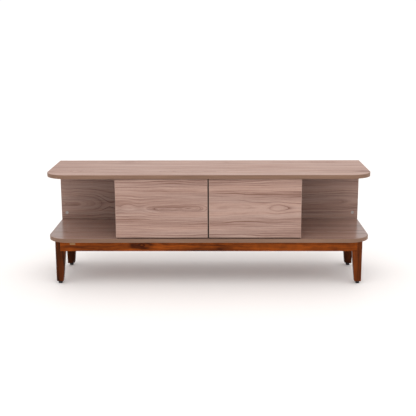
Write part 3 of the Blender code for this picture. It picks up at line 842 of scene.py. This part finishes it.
def make_strike_plate(side_name):
    """Round plate on the door, dished for the latch's plunger."""
    node = side_name + "_strike_plate"
    low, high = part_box(node)
    radius, thickness = (high.x - low.x) / 2, high.y - low.y
    floor = 0.45 * thickness
    disc = turned([(0, 0), (radius, 0), (radius, 0.5 * thickness), (radius - STRIKE_CHAMFER, thickness),
                   (STRIKE_DISH[0], thickness), (STRIKE_DISH[1], floor), (0, floor)], 48)
    middle = (low + high) / 2
    make_piece(node + "_disc", placed(disc, (middle.x, low.y, middle.z), (0, 1, 0)), side_name + "_door",
               nickel, "nickel_steel", node)


def make_doors():
    for side_name in SIDES:
        door = side_name + "_door"
        make_board(door, 1, door_decor, door_edging, DOOR_ARRIS, door, cutters=door_cutters(side_name))
        for level_name in LEVELS:
            make_hinge_cup(side_name, level_name)
            make_hinge_link(side_name, level_name)
            make_hinge_arm(side_name, level_name)
        make_strike_plate(side_name)


def make_latch_housing(side_name):
    """Housing of a push latch: grip grooves, a collar round the plunger's bore, and two screws."""
    node = side_name + "_latch_housing"
    low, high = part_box(node)
    middle = (low + high) / 2
    front = Vector((middle.x, low.y, middle.z))
    toward_door = (0, -1, 0)
    radius, out = COLLAR
    collar = turned([(0, -COLLAR_ROOT), (radius, -COLLAR_ROOT), (radius, out - COLLAR_CHAMFER),
                     (radius - COLLAR_CHAMFER, out), (0, out)])
    housing = joined(box(low, high, LATCH_ROUND, 3), placed(collar, front, toward_door))
    bore_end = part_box(side_name + "_latch_plunger")[1].y + BORE_SPARE
    housing = cut(housing, placed(rod(PLUNGER_BORE, low.y - bore_end, THROUGH), front, toward_door))
    for way in (-1, 1):
        for lift in (-GROOVE_PITCH, 0.0, GROOVE_PITCH):
            spot = (middle.x + way * (high.x - low.x) / 2, middle.y + GROOVE_BACK, middle.z + lift)
            housing = cut(housing, box_at(spot, GRIP_GROOVE))
    make_piece(node + "_shell", housing, "carcass", latch_plastic, "grey_plastic", node)
    radius, sunk = LATCH_SCREW
    screw_rows = (low.y + LATCH_SCREW_INSET[0], high.y - LATCH_SCREW_INSET[1])
    make_screws(node, [(radius, (middle.x, y, low.z + sunk)) for y in screw_rows], (0, 0, -1))


def make_plunger(side_name):
    """Plunger of a push latch, with a rounded tip and a groove behind it."""
    node = side_name + "_latch_plunger"
    low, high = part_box(node)
    radius, length = (high.x - low.x) / 2, high.y - low.y
    rounding = [(radius - TIP_ROUND * (1 - math.cos(a)), -TIP_ROUND * (1 - math.sin(a)))
                for a in arc(0, math.pi / 2, 5)]
    start, floor_start, floor_end, end = TIP_GROOVE
    floor = radius - TIP_GROOVE_DEPTH
    profile = [(0, -length), (radius - PLUNGER_CHAMFER, -length), (radius, -length + PLUNGER_CHAMFER),
               (radius, -end), (floor, -floor_end), (floor, -floor_start), (radius, -start), *rounding,
               (0, 0)]
    middle = middle_of(side_name + "_latch_housing")
    make_piece(node + "_rod", placed(turned(profile), (middle.x, low.y, middle.z), (0, -1, 0)),
               side_name + "_plunger", latch_plastic, "grey_plastic", node)


# ---- base frame ----

def make_beam(node, mat):
    low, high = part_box(node)
    make_piece(node + "_beam", box(low, high, FRAME_ARRIS, 3), "carcass", mat, "stained_wood", node)


def round_chosen(solid, chosen, width, segments):
    """Round or chamfer the edges whose two ends are both chosen."""
    edges = [edge for edge in solid.edges if all(chosen(vert.co) for vert in edge.verts)]
    round_edges(solid, edges, width, segments)


def outer_corner(node, side, end):
    """X and Y of a node's box at its outer corner."""
    low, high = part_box(node)
    return Vector((high.x if side > 0 else low.x, high.y if end > 0 else low.y))


def make_leg(side_name, end_name):
    """Tapered leg: rounded outer corner, chamfered inner corner, rebated for the apron."""
    side, end = SIDES[side_name], ENDS[end_name]
    name = f"{end_name}_{side_name}"
    node = name + "_leg"
    low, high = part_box(node)
    corner = outer_corner(node, side, end)
    apron_low, apron_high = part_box(end_name + "_apron")
    width = high.x - low.x

    def inward(point):
        """How far a point lies from the leg's outer corner, along X and along Y."""
        return side * (corner.x - point.x), end * (corner.y - point.y)

    solid = bmesh.new()
    bmesh.ops.create_cube(solid, size=1.0)
    for vert in solid.verts:
        x_in, y_in = (0.5 - side * vert.co.x) * width, (0.5 - end * vert.co.y) * width
        vert.co = (corner.x - side * x_in, corner.y - end * y_in, high.z if vert.co.z > 0 else low.z)
    bmesh.ops.bisect_plane(solid, geom=solid.verts[:] + solid.edges[:] + solid.faces[:],
                           plane_co=(0, 0, apron_low.z - LEG_SHOULDER_DROP), plane_no=(0, 0, 1))
    for vert in solid.verts:
        if vert.co.z < low.z + FIT:
            x_in, y_in = (min(distance, LEG_TIP) for distance in inward(vert.co))
            vert.co = (corner.x - side * x_in, corner.y - end * y_in, vert.co.z)
    round_chosen(solid, lambda point: max(inward(point)) < FIT, LEG_ROUND, 12)
    round_chosen(solid, lambda point: min(inward(point)) > LEG_TIP - FIT, LEG_CHAMFER, 1)
    round_chosen(solid, lambda point: point.z < low.z + FIT, LEG_END_CHAMFER, 3)
    above_tip = low.z + LEG_END_CHAMFER + 0.001
    sharp = [edge for edge in solid.edges if len(edge.link_faces) == 2
             and edge.calc_face_angle() > SMOOTH_ANGLE and min(v.co.z for v in edge.verts) > above_tip]
    round_edges(solid, sharp, LEG_ARRIS)
    rebate_low = [-REBATE_PAST if side > 0 else apron_low.x - FIT, apron_low.y - FIT, apron_low.z - FIT]
    rebate_high = [apron_high.x + FIT if side > 0 else REBATE_PAST, apron_high.y + FIT, high.z + THROUGH]
    if end < 0:
        rebate_low[1] -= THROUGH
    else:
        rebate_high[1] += THROUGH
    leg = cut(solid, box(rebate_low, rebate_high))
    leg = cut(leg, on_bolt_line(rod(BOLT_RADIUS + BOLT_SPARE, BOLT_SPAN[0] - FIT, THROUGH, 24), name))
    make_piece(node + "_wood", leg, "carcass", leg_woods_and_shade[name], "stained_wood", node)


def on_bolt_line(solid, name):
    """A shape put on a corner bolt's line, its Z 0 at the brace's inner face and +Z toward the middle."""
    end_name, side_name = name.split("_")
    side, end = SIDES[side_name], ENDS[end_name]
    low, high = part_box(name + "_brace")
    across = (high.x - low.x) / 2
    corner = outer_corner(name + "_brace", side, end)
    face = (corner.x - side * across, corner.y - end * across, middle_of(name + "_bolt").z)
    return placed(solid, face, (-side, -end, 0))


def thread(radius, start, stop):
    """Profile of a threaded rod, from one end's middle to the other's."""
    root, crest = THREAD
    turns = int((stop - start - 2 * THREAD_PITCH) / THREAD_PITCH)
    profile = [(0, start), (radius - BOLT_CHAMFER, start)]
    for turn in range(turns):
        level = start + THREAD_START + turn * THREAD_PITCH
        profile += [(radius + root, level), (radius + crest, level + THREAD_PITCH / 2)]
    return profile + [(radius - BOLT_CHAMFER, stop), (0, stop)]


def bolt_and_nut():
    """A threaded rod on the Z axis, with a washer and a hexagonal nut."""
    bolt = turned(thread(BOLT_RADIUS, *BOLT_SPAN), 20)
    radius, face, chamfer = WASHER
    section = [(0, FIT), (radius, FIT), (radius, face - chamfer), (radius - chamfer, face), (0, face)]
    washer = turned(section, 32)
    radius, bottom, top = NUT
    nut = prism(on_circle(radius, arc(0, 2 * math.pi, 6)[:-1]), bottom, top)
    round_edges(nut, nut.edges[:], NUT_ARRIS)
    return joined(bolt, washer, nut)


def make_brace_and_bolt(side_name, end_name):
    """Corner block, the bolt through it with its washer and nut, and the block's two screws."""
    side, end = SIDES[side_name], ENDS[end_name]
    name = f"{end_name}_{side_name}"
    low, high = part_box(name + "_brace")
    corner = outer_corner(name + "_brace", side, end)
    reach = high.x - low.x
    near = reach - BRACE_FACE
    points = [(corner.x - side * reach, corner.y), (corner.x, corner.y - end * reach),
              (corner.x, corner.y - end * near), (corner.x - side * near, corner.y)]
    block = prism(points, low.z, high.z)
    round_edges(block, block.edges[:], BRACE_ARRIS)
    block = cut(block, on_bolt_line(rod(BOLT_RADIUS + BOLT_SPARE, BOLT_SPAN[0], THROUGH, 24), name))
    make_piece(name + "_brace_block", block, "carcass", rail_wood, "stained_wood", name + "_brace")
    make_piece(name + "_bolt_and_nut", on_bolt_line(bolt_and_nut(), name), "carcass", nickel,
               "nickel_steel", name + "_bolt")

    face = Vector((corner.x - side * reach / 2, corner.y - end * reach / 2, (low.z + high.z) / 2))
    along = Vector((side, -end, 0)).normalized()
    inward = Vector((-side, -end, 0)).normalized()
    radius, far, gap = BRACE_SCREW
    heads = [(radius, face + along * way * far + inward * gap) for way in (-1, 1)]
    make_screws(name + "_brace", heads, inward)


def make_foot(side_name, end_name):
    """Moulded glide: a collar against the leg, a waist, and a rounded sole."""
    node = f"{end_name}_{side_name}_foot"
    low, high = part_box(node)
    radius, height = (high.x - low.x) / 2, high.z - low.z
    sole = [(radius - SOLE_INSET - SOLE_ROUND * (1 - math.cos(a)), SOLE_ROUND * (1 - math.sin(a)))
            for a in arc(0, math.pi / 2, 5)]
    waist = height - GLIDE_COLLAR
    profile = [(0, height), (radius - GLIDE_CHAMFER, height), (radius, height - GLIDE_CHAMFER),
               (radius, waist), (radius - GLIDE_CHAMFER, waist - GLIDE_SLOPES[0]),
               (radius - 2 * GLIDE_CHAMFER, waist - GLIDE_SLOPES[1]), *sole, (0, 0)]
    middle = (low + high) / 2
    make_piece(node + "_glide", placed(turned(profile), (middle.x, middle.y, low.z)), "carcass",
               glide_plastic, "black_plastic", node)


def make_plate():
    """Blank plate with rounded edges and two small domed pins."""
    low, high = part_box("maker_plate")
    middle = (low + high) / 2
    pins = [placed(turned(PIN_DOME, 16), (middle.x + way * BLANK_PIN, low.y + 0.0002, middle.z), (0, -1, 0))
            for way in (-1, 1)]
    plate = together(box(low, high, BLANK_ROUND), *pins)
    make_piece("maker_plate_blank", plate, "carcass", brass, "brass_plate", "maker_plate")


def make_base():
    make_beam("front_apron", apron_wood)
    make_beam("rear_apron", apron_wood)
    make_beam("centre_stretcher", rail_wood)
    for side_name in SIDES:
        make_beam(side_name + "_rail", rail_wood)
        for end_name in ENDS:
            make_leg(side_name, end_name)
            make_brace_and_bolt(side_name, end_name)
            make_foot(side_name, end_name)
    make_plate()


# ---- stage ----

def make_camera():
    yaw, pitch, roll = (math.radians(angle) for angle in (CAMERA_YAW, CAMERA_PITCH, CAMERA_ROLL))
    forward = Vector((math.sin(yaw) * math.cos(pitch), math.cos(yaw) * math.cos(pitch), -math.sin(pitch)))
    right = Vector((math.cos(yaw), -math.sin(yaw), 0))
    up = right.cross(forward)
    right, up = (math.cos(roll) * right + math.sin(roll) * up, math.cos(roll) * up - math.sin(roll) * right)
    turn = Matrix((right, up, -forward)).transposed().to_4x4()
    lens = bpy.data.cameras.new("camera")
    lens.lens = CAMERA_LENS
    lens.clip_end = CAMERA_SIGHT
    camera = bpy.data.objects.new("camera", lens)
    camera.matrix_world = Matrix.Translation(CAMERA_SPOT) @ turn
    bpy.context.scene.collection.objects.link(camera)
    bpy.context.scene.camera = camera


def make_floor():
    finish = Finish("floor_paint", Roughness=0.55, Specular_IOR_Level=0.15)
    cloud = finish.noise(finish.place(), (1.2, 1.2), 3.0)
    finish.feed("Base Color", finish.ramp(cloud, (0.3, FLOOR_TONES[0]), (0.7, FLOOR_TONES[1])))
    half = FLOOR_SIZE / 2
    corners = ((-half, -half), (half, -half), (half, half), (-half, half))
    solid = bmesh.new()
    solid.faces.new([solid.verts.new((x, y, 0)) for x, y in corners])
    mesh = bpy.data.meshes.new("floor")
    solid.to_mesh(mesh)
    solid.free()
    mesh.materials.append(finish.material)
    floor = bpy.data.objects.new("floor", mesh)
    bpy.context.scene.collection.objects.link(floor)


def make_light():
    """A white studio whose light comes mostly from above and in front, as from one very large softbox."""
    world = bpy.data.worlds.new("studio")
    world.use_nodes = True
    sky = Nodes(world.node_tree)
    direction = sky.node("TexCoord", {}).outputs["Generated"]
    facing = sky.node("VectorMath", {0: direction, 1: Vector(SOFTBOX_TOWARD).normalized()},
                      operation="DOT_PRODUCT").outputs["Value"]
    glow = sky.node("MapRange", {"Value": facing, "From Min": SOFTBOX_EDGE, "From Max": 1.0, "To Min": FILL,
                                 "To Max": SOFTBOX}, interpolation_type="SMOOTHSTEP").outputs[0]
    sideways = sky.node("SeparateXYZ", {0: direction}).outputs["X"]
    dimming = sky.math("MULTIPLY_ADD", sky.math("POWER", sideways, 2.0), -SIDE_DIMMING, 1.0)
    light = sky.math("MULTIPLY", dimming, glow)
    seen = sky.node("LightPath", {}).outputs["Is Camera Ray"]
    strength = sky.node("Mix", {0: seen, 2: light, 3: BACKDROP}).outputs[0]
    background = sky.tree.nodes["Background"]
    background.inputs["Color"].default_value = (1.0, 1.0, 1.0, 1.0)
    sky.tree.links.new(strength, background.inputs["Strength"])
    bpy.context.scene.world = world
    bpy.context.scene.view_settings.view_transform = "Standard"


make_boards()
make_doors()
for latch_side in SIDES:
    make_latch_housing(latch_side)
    make_plunger(latch_side)
make_base()
make_floor()
make_light()
make_camera()
